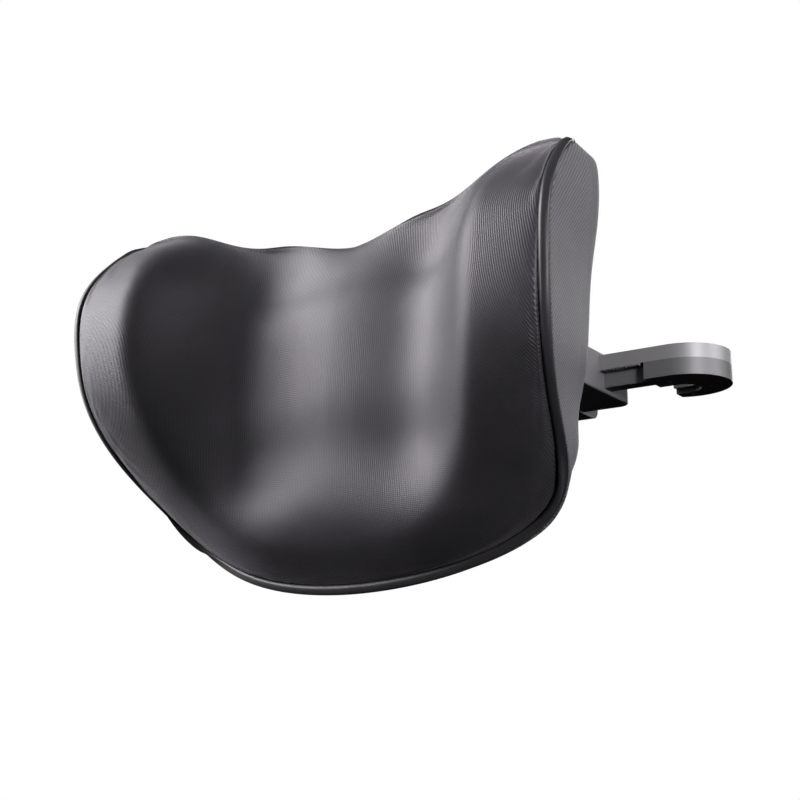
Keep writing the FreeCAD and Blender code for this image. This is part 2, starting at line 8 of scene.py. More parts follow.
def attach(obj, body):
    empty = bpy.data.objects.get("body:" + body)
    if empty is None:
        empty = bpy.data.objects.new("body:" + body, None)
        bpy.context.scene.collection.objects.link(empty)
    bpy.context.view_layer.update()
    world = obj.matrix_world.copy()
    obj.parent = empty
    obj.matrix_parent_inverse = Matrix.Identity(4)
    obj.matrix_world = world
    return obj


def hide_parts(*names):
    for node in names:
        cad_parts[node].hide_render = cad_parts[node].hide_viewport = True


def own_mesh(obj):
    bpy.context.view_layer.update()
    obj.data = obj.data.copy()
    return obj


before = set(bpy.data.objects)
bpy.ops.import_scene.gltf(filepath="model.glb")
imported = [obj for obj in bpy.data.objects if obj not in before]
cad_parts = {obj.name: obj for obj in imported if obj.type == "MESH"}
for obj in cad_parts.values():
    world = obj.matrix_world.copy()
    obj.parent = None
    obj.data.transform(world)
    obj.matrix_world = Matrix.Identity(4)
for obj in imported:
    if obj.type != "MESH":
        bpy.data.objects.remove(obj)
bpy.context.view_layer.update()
MM = 0.001

# ---------------------------------------------------------------------------------------------
# small helpers
# ---------------------------------------------------------------------------------------------


def smoothstep(low, high, value):
    """0 at low, 1 at high, with a soft start and end; low may be above high."""
    t = np.clip((np.asarray(value, float) - low) / (high - low), 0.0, 1.0)
    return t * t * (3.0 - 2.0 * t)


def curve_through(knots, values, at):
    """A natural cubic through the knots, which must rise."""
    x = np.asarray(knots, float)
    y = np.asarray(values, float)
    n = len(x)
    h = np.diff(x)
    a = np.eye(n)
    b = np.zeros(n)
    for i in range(1, n - 1):
        a[i, i - 1:i + 2] = (h[i - 1], 2 * (h[i - 1] + h[i]), h[i])
        b[i] = 6 * ((y[i + 1] - y[i]) / h[i] - (y[i] - y[i - 1]) / h[i - 1])
    m = np.linalg.solve(a, b)
    q = np.clip(np.asarray(at, float), x[0], x[-1])
    i = np.clip(np.searchsorted(x, q) - 1, 0, n - 2)
    left = q - x[i]
    right = x[i + 1] - q
    return ((m[i] * right ** 3 + m[i + 1] * left ** 3) / (6 * h[i])
            + (y[i] / h[i] - m[i] * h[i] / 6) * right
            + (y[i + 1] / h[i] - m[i + 1] * h[i] / 6) * left)


def travelled(line):
    """The distance along an open line to each of its points."""
    return np.concatenate([[0.0], np.cumsum(np.linalg.norm(np.diff(line, axis=0), axis=1))])


def points_along(line, steps, at):
    """Points of a line at the given distances, where steps are its own points' distances."""
    return np.stack([np.interp(at, steps, line[:, i]) for i in range(3)], -1)


def smooth_faces(mesh):
    mesh.polygons.foreach_set("use_smooth", [True] * len(mesh.polygons))


def new_object(name, verts, faces, material):
    """A smooth-shaded object from points in millimetres, with its faces turned outwards."""
    mesh = bpy.data.meshes.new(name)
    mesh.from_pydata([tuple(v) for v in np.asarray(verts) * MM], [], faces)
    mesh.validate()
    bm = bmesh.new()
    bm.from_mesh(mesh)
    bmesh.ops.recalc_face_normals(bm, faces=bm.faces)
    bm.to_mesh(mesh)
    bm.free()
    obj = bpy.data.objects.new(name, mesh)
    bpy.context.scene.collection.objects.link(obj)
    mesh.materials.append(material)
    smooth_faces(mesh)
    return obj


def ring_mesh(rows, cap_first, cap_last):
    """Quads between closed rings; a cap is one extra point that closes the first or last ring."""
    count = len(rows[0])
    verts = [p for row in rows for p in row]
    faces = []
    for j in range(len(rows) - 1):
        for k in range(count):
            n = (k + 1) % count
            faces.append((j * count + k, j * count + n, (j + 1) * count + n, (j + 1) * count + k))
    for cap, start in ((cap_first, 0), (cap_last, (len(rows) - 1) * count)):
        verts.append(cap)
        tip = len(verts) - 1
        faces += [(start + k, start + (k + 1) % count, tip) for k in range(count)]
    return verts, faces


def set_attribute(obj, name, values):
    """A number per vertex that a material reads."""
    layer = obj.data.attributes.new(name, "FLOAT", "POINT")
    layer.data.foreach_set("value", np.asarray(values, np.float32))


def coords_mm(obj):
    """The object's vertices in millimetres."""
    out = np.empty(len(obj.data.vertices) * 3)
    obj.data.vertices.foreach_get("co", out)
    return out.reshape(-1, 3) / MM


# ---------------------------------------------------------------------------------------------
# materials
# ---------------------------------------------------------------------------------------------


class Nodes:
    """Short calls for building one material's nodes."""

    def __init__(self, name, **sockets):
        self.material = bpy.data.materials.new(name)
        self.material.use_nodes = True
        self.tree = self.material.node_tree
        self.shader = self.tree.nodes["Principled BSDF"]
        for key, value in sockets.items():
            self.shader.inputs[key.replace("_", " ")].default_value = value

    def node(self, kind, **settings):
        item = self.tree.nodes.new(kind)
        for key, value in settings.items():
            setattr(item, key, value)
        return item

    def feed(self, socket, value):
        """A socket takes another node's output or a plain value."""
        if isinstance(value, bpy.types.NodeSocket):
            self.tree.links.new(value, socket)
        else:
            socket.default_value = value

    def math(self, operation, *values):
        item = self.node("ShaderNodeMath", operation=operation)
        for socket, value in zip(item.inputs, values):
            self.feed(socket, value)
        return item.outputs[0]

    def attribute(self, name):
        return self.node("ShaderNodeAttribute", attribute_name=name).outputs["Fac"]

    def place(self):
        """The point on the object, in metres."""
        return self.node("ShaderNodeTexCoord").outputs["Object"]

    def noise(self, scale, detail=3.0, rough=0.5, vector=None):
        item = self.node("ShaderNodeTexNoise")
        self.feed(item.inputs["Vector"], vector or self.place())
        item.inputs["Scale"].default_value = scale
        item.inputs["Detail"].default_value = detail
        item.inputs["Roughness"].default_value = rough
        return item.outputs["Fac"]

    def stretched(self, factors):
        item = self.node("ShaderNodeVectorMath", operation="MULTIPLY")
        self.feed(item.inputs[0], self.place())
        item.inputs[1].default_value = factors
        return item.outputs[0]

    def wave(self, coordinate, period_mm, phase=0.0):
        """A sine between 0 and 1 along a coordinate in millimetres."""
        turn = self.math("MULTIPLY_ADD", coordinate, 2 * math.pi / period_mm, phase)
        return self.math("MULTIPLY_ADD", self.math("SINE", turn), 0.5, 0.5)

    def ramp(self, value, stops):
        """A colour from a number; a stop's colour is a triple or one grey level."""
        item = self.node("ShaderNodeValToRGB")
        self.feed(item.inputs[0], value)
        ramp = item.color_ramp
        for _ in range(len(stops) - 2):
            ramp.elements.new(0.5)
        for element, (position, colour) in zip(ramp.elements, stops):
            element.position = position
            grey = colour if isinstance(colour, tuple) else (colour, colour, colour)
            element.color = (*grey, 1.0)
        return item.outputs["Color"]

    def bump(self, height, strength, distance_mm):
        item = self.node("ShaderNodeBump")
        item.inputs["Strength"].default_value = strength
        item.inputs["Distance"].default_value = distance_mm * MM
        self.feed(item.inputs["Height"], height)
        self.feed(self.shader.inputs["Normal"], item.outputs["Normal"])

    def colour(self, value):
        self.feed(self.shader.inputs["Base Color"], value)

    def roughness(self, value):
        self.feed(self.shader.inputs["Roughness"], value)


RIB_MM = 1.0
STITCH_MM = 0.9
WARP_MM = 2.6
WEFT_MM = 1.9


def knit_fabric():
    """Dark fine-rib knit with a faint violet sheen: ribs, stitches, loose fibre and worn patches."""
    n = Nodes("knit_fabric", Sheen_Weight=0.30, Sheen_Roughness=0.35,
              Sheen_Tint=(0.90, 0.84, 0.96, 1.0), Specular_IOR_Level=0.70,
              Specular_Tint=(0.955, 0.90, 1.0, 1.0))
    rib = n.wave(n.attribute("rib"), RIB_MM)
    stitch = n.wave(n.attribute("course"), STITCH_MM)
    cell = n.math("MULTIPLY", rib, n.math("MULTIPLY_ADD", stitch, 0.55, 0.45))
    fuzz = n.noise(1400.0, 2.0)
    patch = n.noise(26.0, 4.0, 0.6)
    tone = n.math("MULTIPLY_ADD", patch, 0.35, n.math("MULTIPLY_ADD", cell, 0.45,
                                                       n.math("MULTIPLY", fuzz, 0.2)))
    n.colour(n.ramp(tone, ((0.15, (0.006, 0.0055, 0.0066)), (0.5, (0.028, 0.0262, 0.0300)),
                           (0.9, (0.072, 0.068, 0.0765)))))
    n.roughness(n.math("MULTIPLY_ADD", patch, 0.10, 0.46))
    n.bump(n.math("MULTIPLY_ADD", fuzz, 0.35, cell), 0.55, 0.20)
    return n.material


def shell_plastic():
    """Dark moulded plastic with a fine grain."""
    n = Nodes("shell_plastic", Specular_IOR_Level=0.4)
    grain = n.noise(900.0, 3.0)
    patch = n.noise(30.0, 4.0)
    n.colour(n.ramp(patch, ((0.3, (0.024, 0.023, 0.026)), (0.7, (0.034, 0.033, 0.037)))))
    n.roughness(n.math("MULTIPLY_ADD", grain, 0.12, 0.34))
    n.bump(grain, 0.10, 0.08)
    return n.material


def panel_weave():
    """Grey slanted weave: two crossing sets of uneven threads."""
    n = Nodes("panel_weave", Specular_IOR_Level=0.35)
    across = n.attribute("across")
    up = n.attribute("up")
    warp = n.math("MULTIPLY_ADD", n.noise(260.0, 2.0), 1.2, n.math("ADD", across, up))
    weft = n.math("MULTIPLY_ADD", n.noise(310.0, 2.0), 0.9, n.math("SUBTRACT", across, up))
    twill = n.math("MULTIPLY_ADD", n.wave(warp, WARP_MM), 0.62,
                   n.math("MULTIPLY", n.wave(weft, WEFT_MM), 0.38))
    patch = n.noise(40.0, 3.0)
    n.colour(n.ramp(n.math("MULTIPLY_ADD", patch, 0.2, n.math("MULTIPLY", twill, 0.8)),
                    ((0.15, (0.036, 0.034, 0.039)), (0.85, (0.148, 0.141, 0.155)))))
    n.roughness(0.62)
    n.bump(twill, 0.7, 0.30)
    return n.material


def scaled(colour, factor):
    return tuple(min(c * factor, 1.0) for c in colour)


def satin_metal(name, base, rough, metal):
    """Metal or metallic paint with a fine brushed grain and slightly uneven tone."""
    n = Nodes(name, Metallic=metal, Specular_IOR_Level=0.5)
    brush = n.noise(90.0, 5.0, 0.7, n.stretched((1.0, 9.0, 26.0)))
    patch = n.noise(18.0, 3.0)
    n.colour(n.ramp(patch, ((0.3, scaled(base, 0.90)), (0.7, scaled(base, 1.10)))))
    n.roughness(n.math("MULTIPLY_ADD", brush, 0.10, rough))
    n.bump(brush, 0.05, 0.05)
    return n.material


def moulded(name, base, rough):
    """Moulded plastic or rubber with a fine grain."""
    n = Nodes(name, Specular_IOR_Level=0.45)
    grain = n.noise(1100.0, 2.0)
    patch = n.noise(35.0, 3.0)
    n.colour(n.ramp(patch, ((0.3, scaled(base, 0.85)), (0.7, scaled(base, 1.15)))))
    n.roughness(n.math("MULTIPLY_ADD", grain, 0.15, rough))
    n.bump(grain, 0.12, 0.10)
    return n.material


FABRIC = knit_fabric()
SHELL = shell_plastic()
PANEL = panel_weave()
SPRING_LOOK = satin_metal("spring_steel", (0.40, 0.40, 0.42), 0.30, 1.0)
# the first entry whose key starts a CAD node's name gives its look; every screw takes "screw"
CAD_LOOKS = {
    "housing": satin_metal("housing_satin", (0.13, 0.126, 0.134), 0.44, 0.2),
    "arm_upper": satin_metal("arm_satin", (0.20, 0.195, 0.205), 0.40, 0.25),
    # painted shade: the lower arm takes a darker copy of the arm's satin metal, at half its brightness
    "arm_lower": satin_metal("arm_satin_shaded", (0.10, 0.097, 0.104), 0.44, 0.2),
    "arm_shoe": moulded("glide_plastic", (0.03, 0.03, 0.032), 0.5),
    "hook_liner": moulded("liner_rubber", (0.25, 0.245, 0.25), 0.6),
    "release_lever": moulded("lever_plastic", (0.10, 0.098, 0.104), 0.42),
    "hinge": satin_metal("hinge_steel", (0.30, 0.30, 0.31), 0.40, 1.0),
    "screw": satin_metal("fastener_steel", (0.22, 0.22, 0.23), 0.35, 1.0),
    "lever_pin": satin_metal("pin_steel", (0.45, 0.45, 0.46), 0.30, 1.0),
}
for name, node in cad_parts.items():
    key = "screw" if "screws" in name else next((k for k in CAD_LOOKS if name.startswith(k)), None)
    if key:
        for material_slot in node.material_slots:
            material_slot.material = CAD_LOOKS[key]

# ---------------------------------------------------------------------------------------------
# the rim: one closed line where the fabric is tucked behind the shell's bead
# ---------------------------------------------------------------------------------------------
RIM_TOP = 92.5
RIM_BOTTOM = -100.5
# half widths and depths of the rim at seven even heights from RIM_TOP down to RIM_BOTTOM
SEVENTHS = np.linspace(0.0, 1.0, 7)
RIM_HALF = (133.2, 137.6, 137.2, 134.4, 129.6, 128.4, 125.0)
RIM_DEPTH = (-85.1, -114.1, -118.1, -110.8, -85.8, -52.6, -62.3)
OUTLINE_POWER = 6.3
# the rim along the top, from the middle to the right corner
TOP_LINE = ((0, -54, 60.0), (24, -54, 60.5), (46, -54, 63.5), (62, -54, 70.0), (78, -54, 78.0),
            (92, -54.5, 84.0), (106, -55.5, 88.5), (118, -59, 91.8), (127, -66, 93.6),
            (131.6, -75, 94.2), (133.2, -85.1, 92.5))
TOP_SAMPLES = 80
SIDE_SAMPLES = 200
RING = 288
RIM_ROUNDS = 8


def side_rim(u):
    """The rim down one side: u is 0 at the top corner and 1 at the bottom centre."""
    half = curve_through(SEVENTHS, RIM_HALF, u) * np.sqrt(np.clip(1.0 - u ** OUTLINE_POWER,
                                                                   0.0, 1.0))
    depth = curve_through(SEVENTHS, RIM_DEPTH, u)
    return np.stack([half, depth, RIM_TOP + (RIM_BOTTOM - RIM_TOP) * u], -1)


def resampled(line, count):
    """Evenly spaced points along an open line, with both its ends."""
    steps = travelled(line)
    return points_along(line, steps, np.linspace(0.0, steps[-1], count))


def rim_line():
    """The whole rim as one even ring of points, clockwise from the middle of the top."""
    top = np.array(TOP_LINE, float)
    steps = travelled(top)
    fine = np.linspace(0.0, steps[-1], TOP_SAMPLES)
    upper = np.stack([curve_through(steps, top[:, i], fine) for i in range(3)], -1)
    side = side_rim(np.sin(np.pi / 2 * np.linspace(0.0, 1.0, SIDE_SAMPLES)))
    right = resampled(np.concatenate([upper, side[1:]]), RING // 2 + 1)
    for _ in range(RIM_ROUNDS):
        right[1:-1] = 0.25 * right[:-2] + 0.5 * right[1:-1] + 0.25 * right[2:]
    left = right[-2:0:-1] * (-1, 1, 1)
    return np.concatenate([right, left])


rim = rim_line()

# ---------------------------------------------------------------------------------------------
# the shell surface: from the rim back along the wall, round a corner and across the back
# ---------------------------------------------------------------------------------------------
BACK_Y = -50.0
WALL_DEPTH = 68.0
# how far the wall leans inwards between the rim and the back, by height
LEAN_Z = (-100, -60, -40, -20, 0, 20, 40, 56, 75, 95)
LEAN = (9, 9, 10.5, 11.5, 11.5, 11.5, 10.5, 8, 4.5, 1.5)
LEAN_FULL_X = 60.0
WALL_TAPER = 0.02
BEND = 8.0
LEAST_WALL = 8.0
BEND_SHARE = 0.6
BEND_POINTS = 12
LEAST_WALL_RUN = 0.8
LEAST_BEND_RUN = 1.6
# distances from the rim of the first rows, close together over the bead and the channel
EDGE_STEPS = (0.0, 0.35, 1.0, 1.6, 2.05, 2.4, 3.0, 3.5, 4.3, 5.6, 8.0, 11.5)
WALL_ROWS = 10
BEND_ROWS = 8
BACK_ROWS = 18
BACK_SHARE = 0.985
SHELL_ROUNDS = 6
# the flat of the back is set forward by BAR_SINK where the crossbar passes it
BAR_SINK = 8.0
BAR_HIGH = (22.0, 44.0)
BAR_WIDE = (117.0, 124.0)
BAR_DEEP = (-78.0, -56.0)


def shell_rows():
    """Rows of points from the rim to near the centre of the back."""
    paths = []
    centre = np.array([0.0, BACK_Y, 0.0])
    for point in rim:
        wall = max(BACK_Y - point[1], 0.0)
        lean = float(curve_through(LEAN_Z, LEAN, point[2])) * wall / WALL_DEPTH
        lean *= min(abs(point[0]) / LEAN_FULL_X, 1.0)
        corner = np.array([point[0] - math.copysign(lean, point[0]),
                           max(BACK_Y, point[1] + LEAST_WALL),
                           point[2] * (1.0 - WALL_TAPER * wall / WALL_DEPTH)])
        toward = centre - corner
        toward /= np.linalg.norm(toward)
        turn = min(BEND, wall * BEND_SHARE)
        start = corner + (point - corner) * (turn / max(wall, 1e-6)) if wall > 1e-3 else corner
        end = corner + toward * turn
        t = np.linspace(0.0, 1.0, BEND_POINTS)[:, None]
        bend = (1 - t) ** 2 * start + 2 * t * (1 - t) * corner + t ** 2 * end
        line = np.concatenate([[point], bend, [centre]])
        steps = travelled(line)
        bend_from = max(steps[1], EDGE_STEPS[-1] + LEAST_WALL_RUN)
        bend_to = max(steps[BEND_POINTS], bend_from + LEAST_BEND_RUN)
        at = np.concatenate([EDGE_STEPS,
                             np.linspace(EDGE_STEPS[-1], bend_from, WALL_ROWS + 1)[1:],
                             np.linspace(bend_from, bend_to, BEND_ROWS + 1)[1:],
                             np.linspace(bend_to, steps[-1] * BACK_SHARE, BACK_ROWS + 1)[1:]])
        paths.append(points_along(line, steps, at))
    rows = np.array(paths).transpose(1, 0, 2)
    for _ in range(SHELL_ROUNDS):
        beside = np.roll(rows[1:], 1, axis=1) + np.roll(rows[1:], -1, axis=1)
        rows[1:] = 0.5 * rows[1:] + 0.25 * beside
    near_bar = 1.0 - smoothstep(*BAR_HIGH, np.abs(rows[..., 2]))
    near_bar *= 1.0 - smoothstep(*BAR_WIDE, np.abs(rows[..., 0]))
    near_back = smoothstep(*BAR_DEEP, rows[..., 1])
    rows[..., 1] -= BAR_SINK * near_bar * near_back
    return rows


rows = shell_rows()
INSIDE = np.array([0.0, -95.0, 0.0])


def surface_normals(grid):
    """Outward normals of rows of rings."""
    along = np.gradient(grid, axis=0)
    around = (np.roll(grid, -1, axis=1) - np.roll(grid, 1, axis=1)) / 2
    normal = np.cross(around, along)
    normal /= np.maximum(np.linalg.norm(normal, axis=-1, keepdims=True), 1e-9)
    flip = np.sign(np.sum(normal * (grid - INSIDE), axis=-1).mean())
    return normal * flip


normals = surface_normals(rows)
BEAD = 1.3
BEAD_AT = 1.0
BEAD_HALF = 1.1
BEAD_END = 2.2
CHANNEL_END = 3.6
CHANNEL = -1.1
PANEL_BED = -0.7
WALL = 3.4
LIP = 0.9


def outer_profile(distance):
    """The height of the outside: a bead, then a shallow channel, then the bed of the panel."""
    if distance < BEAD_END:
        return BEAD * math.sqrt(max(1.0 - ((distance - BEAD_AT) / BEAD_HALF) ** 2, 0.0))
    return CHANNEL if distance < CHANNEL_END else PANEL_BED


heights = np.full(len(rows), PANEL_BED)
heights[:len(EDGE_STEPS)] = [outer_profile(distance) for distance in EDGE_STEPS]
outer = rows + normals * heights[:, None, None]
inner = rows - normals * WALL
lip = rows[0] - normals[0] * (WALL * 0.5) - (rows[1] - rows[0]) * LIP
shell_grid = list(outer[::-1]) + [lip] + list(inner)
verts, faces = ring_mesh(shell_grid, outer[-1].mean(axis=0), inner[-1].mean(axis=0))
shell = new_object("shell_skin", verts, faces, SHELL)
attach(shell, "cushion")
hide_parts("rear_shell", "carrier_board")

PANEL_FIRST = 7
PANEL_HALF = 0.55
PANEL_EDGE_DROP = 0.45
WALL_TO_BACK = (-56, -66)
panel_top = rows[PANEL_FIRST:] + normals[PANEL_FIRST:] * PANEL_HALF
panel_top[0] -= normals[PANEL_FIRST] * PANEL_EDGE_DROP
panel_low = rows[PANEL_FIRST:] - normals[PANEL_FIRST:] * PANEL_HALF
panel_grid = list(panel_top[::-1]) + list(panel_low)
verts, faces = ring_mesh(panel_grid, panel_top[-1].mean(axis=0), panel_low[-1].mean(axis=0))
panel = new_object("panel_skin", verts, faces, PANEL)
places = coords_mm(panel)
on_wall = smoothstep(*WALL_TO_BACK, places[:, 1])
set_attribute(panel, "across", np.abs(places[:, 0]) - places[:, 1] * on_wall)
set_attribute(panel, "up", places[:, 2])
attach(panel, "cushion")
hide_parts("rear_panel")

# ---------------------------------------------------------------------------------------------
# the padded cover
# ---------------------------------------------------------------------------------------------
# depth of the padded face by height: along the middle, and along the crests of the wings
FACE_Z = (-100, -86, -72, -59, -35, -11, 14, 41, 53, 66, 81, 101)
FACE_Y = (-62, -71.5, -79, -82.5, -83, -85, -83, -78, -73, -68.5, -66, -64)
WING_Z = (-100, -86, -72, -56, -40, -20, 0, 20, 37, 57, 70, 80, 90, 101)
WING_Y = (-62, -72, -80, -88, -98, -110, -118.5, -122, -121.5, -116, -108.5, -100, -87, -68)
# how far out the crests stand, by height
CREST_Z = (-100, -75, -56, -43, -26, -9, 10, 30, 57, 90, 101)
CREST_X = (60, 68, 79, 86, 93, 98.5, 102, 103, 104, 108, 110)
WING_POWER = 2.8
HOLLOW = 7.5
HOLLOW_X = 46.0
HOLLOW_SPREAD = 25.0
HOLLOW_FOOT = (-80, -30)
HOLLOW_HEAD = (50, 75)


def face_depth(x, z):
    """The padded face before its edges are rounded: a ridge, two hollows and two wings."""
    across = np.abs(x)
    centre = curve_through(FACE_Z, FACE_Y, z)
    wing = curve_through(WING_Z, WING_Y, z)
    reach = np.clip(across / curve_through(CREST_Z, CREST_X, z), 0.0, 1.0)
    share = np.sin(np.pi / 2 * reach ** WING_POWER) ** 2
    hollow = HOLLOW * np.exp(-((across - HOLLOW_X) / HOLLOW_SPREAD) ** 2)
    hollow = hollow * smoothstep(*HOLLOW_FOOT, z) * (1.0 - 0.5 * smoothstep(*HOLLOW_HEAD, z))
    return centre + hollow + (wing - centre) * share


# the widest line of the cover along the top: height and depth by distance from the middle
CROWN_X = (0, 7, 28, 42, 57, 71, 87, 98, 111, 119, 126, 133.5)
CROWN_Z = (75.5, 76.3, 80.5, 82.0, 83, 86.5, 93.0, 97.0, 99.0, 98.2, 95.8, 91.0)
CROWN_Y = (-62, -62.3, -64.5, -66, -68, -70, -72, -73, -74.5, -76, -79, -85)
CROWN_DEEP = (-87, -70)
CROWN_HIGH = (40, 60)
TUCK = 3.7
tuck = rows[1] - normals[1] * TUCK


def crown_line():
    """The widest line of the cover: it rises over the shell along the top and meets it elsewhere."""
    across = np.abs(tuck[:, 0])
    share = smoothstep(*CROWN_DEEP, tuck[:, 1]) * smoothstep(*CROWN_HIGH, tuck[:, 2])
    line = tuck.copy()
    line[:, 1] += (curve_through(CROWN_X, CROWN_Y, across) - tuck[:, 1]) * share
    line[:, 2] += (curve_through(CROWN_X, CROWN_Z, across) - tuck[:, 2]) * share
    return line


crown = crown_line()

GRID = RING // 4
GRID_CROWDING = 1.6
# the edge is rounded over EDGE_ROUND, more at the sides below, less along the foot and the top
EDGE_ROUND = 34.0
EDGE_ROUND_LOW = 2.0
EDGE_ROUND_LESS = 18.0
SIDE_LOW = (-10, -45)
FOOT_WIDE = (90, 40)
FOOT_HIGH = (-40, -75)
PEAK_HIGH = (66, 92)
SADDLE_HIGH = (40, 62)
SADDLE_WIDE = (85, 50)
# the cover turns in behind its widest line, then runs down the inside of the shell
TURN_DEGREES = (18, 36, 54, 72, 90)
INNER_ROWS = (4, 8, 11, 16, 21, 26)
INNER_GAP = 5.0
INNER_Y = -62.0
INNER_TOP = 48.0


def face_point(x, z):
    """A point of the front: the padded face, rounded off towards the widest line."""
    outline = crown[:, [0, 2]]
    apart = np.hypot(x[:, None] - outline[None, :, 0], z[:, None] - outline[None, :, 1])
    gap = apart.min(axis=1)
    edge = crown[apart.argmin(axis=1), 1]
    low = smoothstep(*SIDE_LOW, z)
    foot = smoothstep(*FOOT_WIDE, np.abs(x)) * smoothstep(*FOOT_HIGH, z)
    saddle = smoothstep(*SADDLE_HIGH, z) * smoothstep(*SADDLE_WIDE, np.abs(x))
    top = smoothstep(*PEAK_HIGH, z) + saddle
    radius = EDGE_ROUND + EDGE_ROUND_LOW * low
    radius = radius - EDGE_ROUND_LESS * foot - EDGE_ROUND_LESS * np.clip(top, 0, 1)
    near = 1.0 - np.clip(gap / radius, 0.0, 1.0)
    rise = np.sqrt(np.clip(1.0 - near ** 2, 0.0, 1.0))
    return np.stack([x, edge * (1.0 - rise) + face_depth(x, z) * rise, z], -1)


def square_ring(level):
    """Cells of one square ring of the front grid, clockwise from the middle of its top side."""
    if level == 0:
        return [(0, 0)]
    right = [(i, level) for i in range(0, level)] + [(level, -i) for i in range(-level, level)]
    left = [(-i, -level) for i in range(-level, level)] + [(-level, i) for i in range(-level, level)]
    return right + left + [(i, level) for i in range(-level, 0)]


def cover_mesh():
    """The closed cover: a square grid over the front, then rings over the crown and inside the shell."""
    half = GRID // 2
    index = {}
    verts = []
    for level in range(half + 1):
        ring = square_ring(level)
        share = 1.0 - (1.0 - level / half) ** GRID_CROWDING
        at = np.arange(len(ring)) / len(ring) * RING
        flat = np.stack([np.interp(at, np.arange(RING + 1), np.append(crown[:, i], crown[0, i]))
                         for i in (0, 2)], -1) * share
        points = crown if level == half else face_point(flat[:, 0], flat[:, 1])
        for cell, point in zip(ring, points):
            index[cell] = len(verts)
            verts.append(point)
    faces = [(index[i, j], index[i + 1, j], index[i + 1, j + 1], index[i, j + 1])
             for i in range(-half, half) for j in range(-half, half)]
    edge = [index[cell] for cell in square_ring(half)]
    rings = []
    for turn in np.radians(TURN_DEGREES):
        row = crown + (tuck - crown) * math.sin(turn)
        row[:, 2] = tuck[:, 2] + (crown[:, 2] - tuck[:, 2]) * math.cos(turn)
        rings.append(row)
    rings += [rows[i] - normals[i] * INNER_GAP for i in INNER_ROWS]
    rings[-1][:, 1] = np.minimum(rings[-1][:, 1], INNER_Y)
    rings[-1][:, 2] = np.minimum(rings[-1][:, 2], INNER_TOP)
    for row in rings:
        start = len(verts)
        verts += list(row)
        fresh = list(range(start, start + RING))
        faces += [(edge[k], edge[(k + 1) % RING], fresh[(k + 1) % RING], fresh[k]) for k in range(RING)]
        edge = fresh
    # strips from side to side close the last ring
    faces += [(edge[k], edge[k + 1], edge[-k - 1], edge[-k]) for k in range(1, RING // 2 - 1)]
    faces += [(edge[0], edge[1], edge[-1]),
              (edge[RING // 2 - 1], edge[RING // 2], edge[RING // 2 + 1])]
    return verts, faces


cover = new_object("cushion_cover", *cover_mesh(), FABRIC)

HELD_NEAR = (7.0, 1.5)
PRESSURE = 4.0
TENSION = 30.0
BENDING = 5.0
FRAMES = 20
SWELL_CAP = 1.6
SWELL_ROUNDS = 25
SWELL_BLEND = 0.7
BEHIND_RIM = 1.0
BATCH = 4000


def apply_modifiers(obj):
    """The object's mesh becomes what its modifiers make of it."""
    graph = bpy.context.evaluated_depsgraph_get()
    mesh = bpy.data.meshes.new_from_object(obj.evaluated_get(graph), depsgraph=graph)
    old = obj.data
    obj.modifiers.clear()
    obj.data = mesh
    bpy.data.meshes.remove(old)


def beside_rim(points):
    """How far each point is from the rim, and whether it lies behind it, inside the shell."""
    apart = np.empty(len(points))
    behind = np.empty(len(points), bool)
    for first in range(0, len(points), BATCH):
        batch = slice(first, first + BATCH)
        offset = points[batch, None] - rim[None]
        apart[batch] = np.linalg.norm(offset, axis=2).min(axis=1)
        near = np.linalg.norm(offset[..., [0, 2]], axis=2).argmin(axis=1)
        behind[batch] = points[batch, 1] > rim[near, 1] + BEHIND_RIM
    return apart, behind


def inflate(obj):
    """Air pressure swells the cover a little: the swell is evened out and capped."""
    start = coords_mm(obj)
    apart, behind = beside_rim(start)
    weight = np.maximum(smoothstep(*HELD_NEAR, apart), behind.astype(float))
    group = obj.vertex_groups.new(name="held")
    for index, value in enumerate(weight):
        group.add([index], float(value), "REPLACE")
    cloth = obj.modifiers.new("cloth", "CLOTH")
    cloth.settings.use_pressure = True
    cloth.settings.uniform_pressure_force = PRESSURE
    cloth.settings.vertex_group_mass = "held"
    cloth.settings.effector_weights.gravity = 0.0
    cloth.settings.tension_stiffness = TENSION
    cloth.settings.bending_stiffness = BENDING
    cloth.point_cache.frame_start = 1
    cloth.point_cache.frame_end = FRAMES
    for number in range(1, FRAMES + 1):
        bpy.context.scene.frame_set(number)
        bpy.context.evaluated_depsgraph_get()
    apply_modifiers(obj)
    bpy.context.scene.frame_set(1)
    obj.vertex_groups.clear()
    moved = np.nan_to_num(coords_mm(obj) - start)
    length = np.linalg.norm(moved, axis=1, keepdims=True)
    moved *= np.minimum(1.0, SWELL_CAP / np.maximum(length, 1e-6)) * (1.0 - weight)[:, None]
    edges = np.empty(len(obj.data.edges) * 2, int)
    obj.data.edges.foreach_get("vertices", edges)
    first, second = edges.reshape(-1, 2).T
    count = np.bincount(edges, minlength=len(start))[:, None]
    for _ in range(SWELL_ROUNDS):
        total = np.zeros_like(moved)
        np.add.at(total, first, moved[second])
        np.add.at(total, second, moved[first])
        moved = (1.0 - SWELL_BLEND) * moved + SWELL_BLEND * total / count
        moved *= (1.0 - weight)[:, None]
    start = start + moved
    obj.data.vertices.foreach_set("co", (start * MM).ravel())
    subdivide = obj.modifiers.new("subdivide", "SUBSURF")
    subdivide.levels = 1
    apply_modifiers(obj)
    smooth_faces(obj.data)


RIB_FOLLOWS = 0.75
COURSE_LEAN = 0.5
inflate(cover)
places = coords_mm(cover)
# the ribs follow the cloth out along the wings, so a rib's distance grows with the depth as well
flat_depth = curve_through(FACE_Z, FACE_Y, places[:, 2])
run = np.abs(places[:, 0]) + RIB_FOLLOWS * np.maximum(flat_depth - places[:, 1], 0.0)
set_attribute(cover, "rib", np.sign(places[:, 0]) * run)
set_attribute(cover, "course", places[:, 2] - COURSE_LEAN * places[:, 1])
cover.data.materials.clear()
cover.data.materials.append(FABRIC)
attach(cover, "cushion")
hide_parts("front_cover", "foam_pad")
